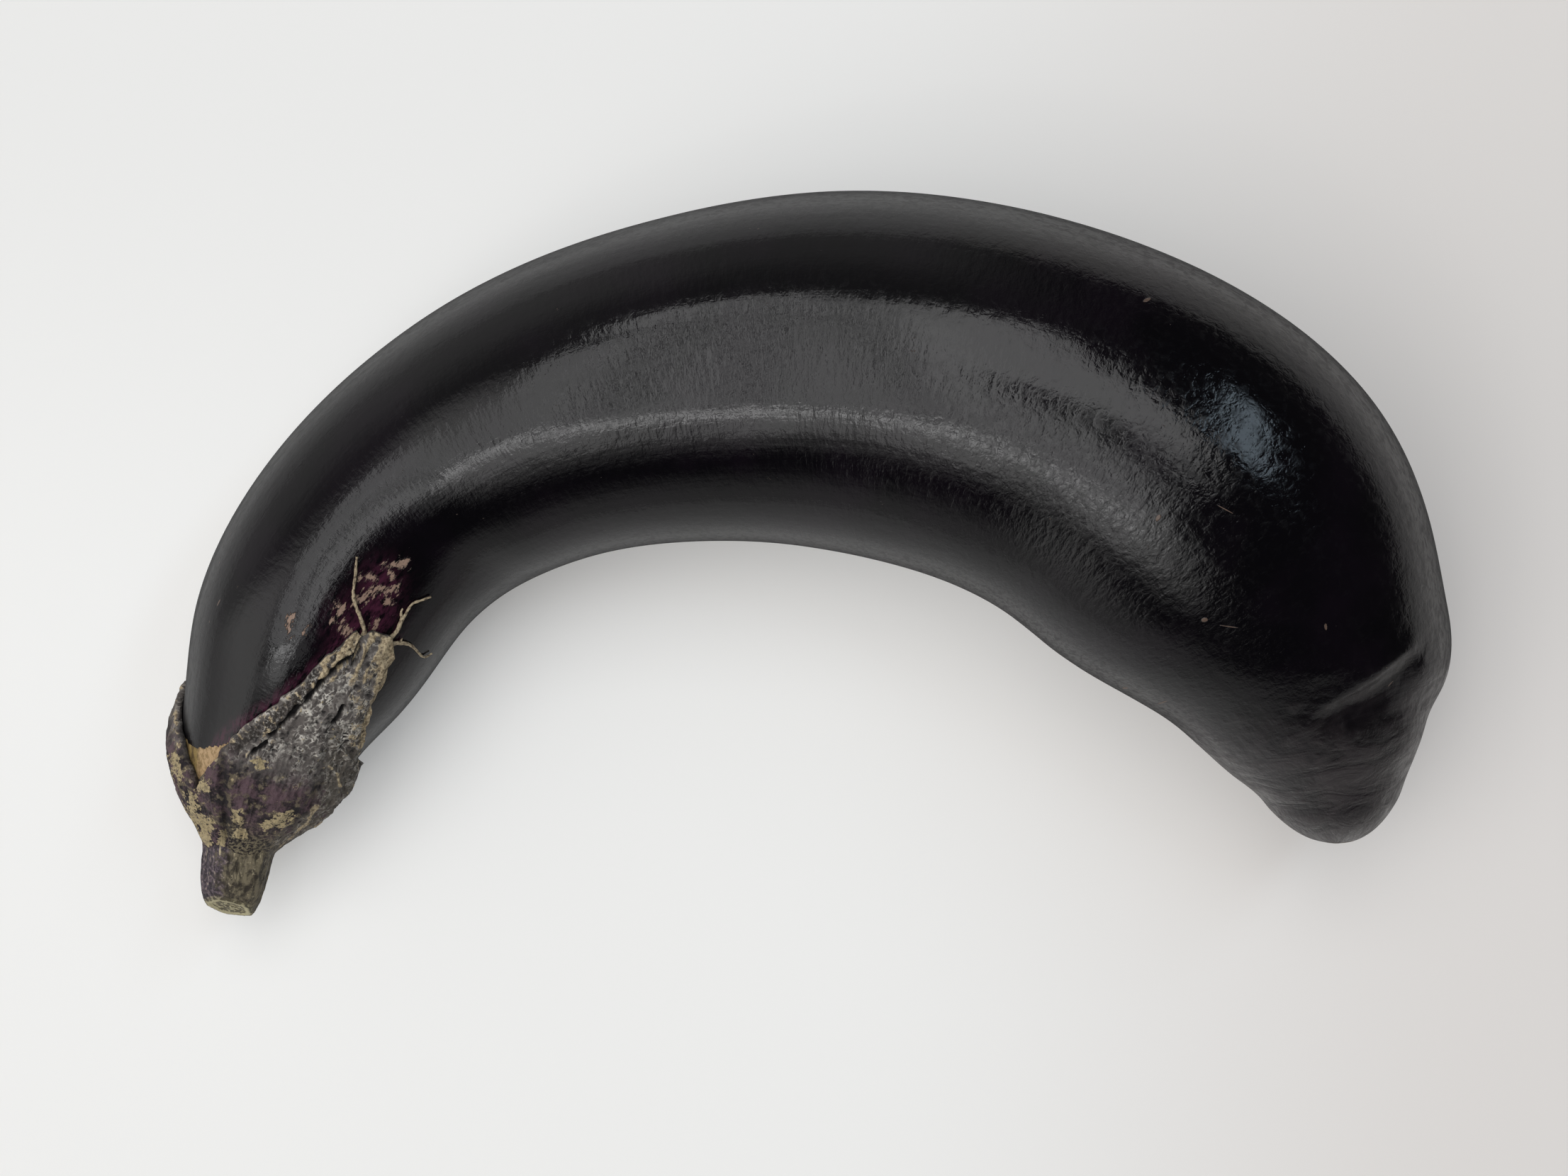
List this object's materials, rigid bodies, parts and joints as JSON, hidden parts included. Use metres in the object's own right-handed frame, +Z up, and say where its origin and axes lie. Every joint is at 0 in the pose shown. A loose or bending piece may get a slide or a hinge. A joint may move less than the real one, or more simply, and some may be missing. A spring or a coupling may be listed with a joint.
{
  "type": "eggplant",
  "caption": "Long curved eggplant lying on its side, with a dried calyx and a short cut stem at one end and a narrow blossom tip at the other.",
  "frame": {"origin": "on the surface the eggplant lies on, under the middle of its box", "axes": "+X from the stem end towards the blossom end, across the bend; +Y towards the outside of the bend; +Z up from the surface"},
  "size_m": [0.2146, 0.1216, 0.0633],
  "materials": {
    "aubergine_skin": "waxy near-black purple skin, glossy with a faint mottle",
    "dry_calyx": "dried, wrinkled, matt brown and grey with ochre scabs",
    "stem_brown": "ribbed matt olive brown, with a paler cut face"
  },
  "bodies": {
    "root": {"fruit": "aubergine_skin", "calyx": "dry_calyx", "stem": "stem_brown"}
  },
  "joints": []
}
